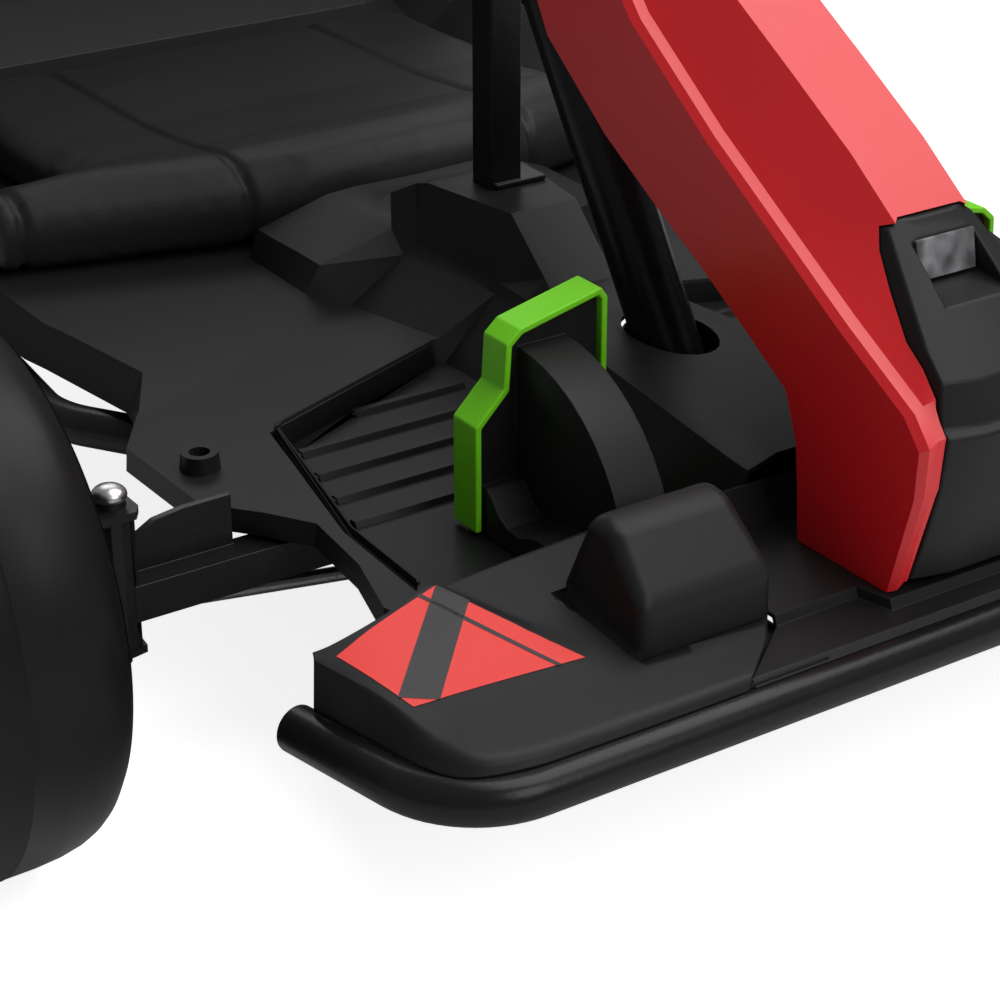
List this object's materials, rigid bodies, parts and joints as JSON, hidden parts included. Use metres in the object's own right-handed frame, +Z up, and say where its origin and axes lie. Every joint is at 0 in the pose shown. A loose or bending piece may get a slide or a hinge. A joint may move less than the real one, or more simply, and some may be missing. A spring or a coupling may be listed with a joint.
{
  "type": "electric drift kart",
  "caption": "Low one-seat electric kart with a tube frame, a red nose fairing, sunk footwells, wide slick tyres, steered front wheels and a driven rear axle.",
  "frame": {"origin": "on the ground, on the centre line, half way along the kart", "axes": "+Z up, -Y towards the front bumper, +X towards the driver's left"},
  "size_m": [0.98, 1.2376, 0.5843],
  "materials": {
    "black_paint": "gloss black powder coat",
    "black_plastic": "satin moulded plastic",
    "black_tyre": "smooth hard plastic slick",
    "red_plastic": "gloss red",
    "green_plastic": "satin bright green",
    "clear_lens": "clear lens",
    "seat_cover": "black leatherette",
    "aluminium": "satin"
  },
  "bodies": {
    "chassis": {"front_bumper_tube": "black_paint", "rear_bumper_tube": "black_paint", "inner_rail_right": "black_paint", "inner_rail_left": "black_paint", "side_rail_right": "black_paint", "side_rail_left": "black_paint", "outrigger_right": "black_paint", "outrigger_left": "black_paint", "cross_tube_front": "black_paint", "cross_tube_rear": "black_paint", "column_socket": "black_paint", "floor_tray": "black_plastic", "steering_post": "black_paint", "steering_column": "black_paint", "bumper_cover_right": "black_plastic", "bumper_cover_left": "black_plastic", "bumper_cover_centre": "black_plastic", "pedal_housing_right": "black_plastic", "pedal_housing_left": "black_plastic", "accelerator_pedal": "black_plastic", "accelerator_strip": "green_plastic", "brake_pedal": "black_plastic", "brake_strip": "green_plastic", "nose_shell": "red_plastic", "nose_panel": "black_plastic", "nose_lamp": "clear_lens", "seat_shell": "black_plastic", "seat_cushion": "seat_cover", "seat_back_pad": "seat_cover", "seat_mount": "black_paint", "battery_box": "black_plastic", "motor_plate": "black_paint", "motor_block": "black_paint", "chain_guard": "black_plastic", "bearing_carrier_right": "black_paint", "bearing_carrier_left": "black_paint"},
    "steering": {"steering_shaft": "black_paint", "steering_wheel": "black_plastic"},
    "knuckle_right": {"knuckle_right": "black_paint"},
    "knuckle_left": {"knuckle_left": "black_paint"},
    "tie_rod_right": {"tie_rod_right": "black_paint"},
    "tie_rod_left": {"tie_rod_left": "black_paint"},
    "front_wheel_right": {"front_tyre_right": "black_tyre", "front_rim_right": "black_plastic"},
    "front_wheel_left": {"front_tyre_left": "black_tyre", "front_rim_left": "black_plastic"},
    "rear_wheels": {"rear_axle": "aluminium", "rear_tyre_right": "black_tyre", "rear_tyre_left": "black_tyre", "rear_rim_right": "black_plastic", "rear_rim_left": "black_plastic"}
  },
  "joints": [
    {"name": "steering_turn", "type": "hinge", "parent": "chassis", "child": "steering", "pos_m": [0, -0.11576, 0.505], "axis": [0, 0.5446, 0.8387], "range_deg": [-32, 32]},
    {"name": "knuckle_turn_right", "type": "hinge", "parent": "chassis", "child": "knuckle_right", "pos_m": [-0.335, -0.366, 0.132], "axis": [0, 0, 1], "range_deg": [-20, 20]},
    {"name": "knuckle_turn_left", "type": "hinge", "parent": "chassis", "child": "knuckle_left", "pos_m": [0.335, -0.366, 0.132], "axis": [0, 0, 1], "range_deg": [-20, 20]},
    {"name": "tie_rod_swing_right", "type": "hinge", "parent": "knuckle_right", "child": "tie_rod_right", "pos_m": [-0.325, -0.312, 0.0655], "axis": [0, 0, 1], "range_deg": [-20, 20]},
    {"name": "tie_rod_swing_left", "type": "hinge", "parent": "knuckle_left", "child": "tie_rod_left", "pos_m": [0.325, -0.312, 0.0655], "axis": [0, 0, 1], "range_deg": [-20, 20]},
    {"name": "front_wheel_spin_right", "type": "hinge", "parent": "knuckle_right", "child": "front_wheel_right", "pos_m": [-0.436, -0.366, 0.132], "axis": [1, 0, 0], "continuous": true},
    {"name": "front_wheel_spin_left", "type": "hinge", "parent": "knuckle_left", "child": "front_wheel_left", "pos_m": [0.436, -0.366, 0.132], "axis": [1, 0, 0], "continuous": true},
    {"name": "rear_axle_spin", "type": "hinge", "parent": "chassis", "child": "rear_wheels", "pos_m": [0, 0.366, 0.132], "axis": [1, 0, 0], "continuous": true}
  ],
  "couplings": [
    {"joint": "knuckle_turn_right", "follows": "steering_turn", "ratio": 0.62},
    {"joint": "knuckle_turn_left", "follows": "steering_turn", "ratio": 0.62},
    {"joint": "tie_rod_swing_right", "follows": "steering_turn", "ratio": -0.62},
    {"joint": "tie_rod_swing_left", "follows": "steering_turn", "ratio": -0.62}
  ]
}
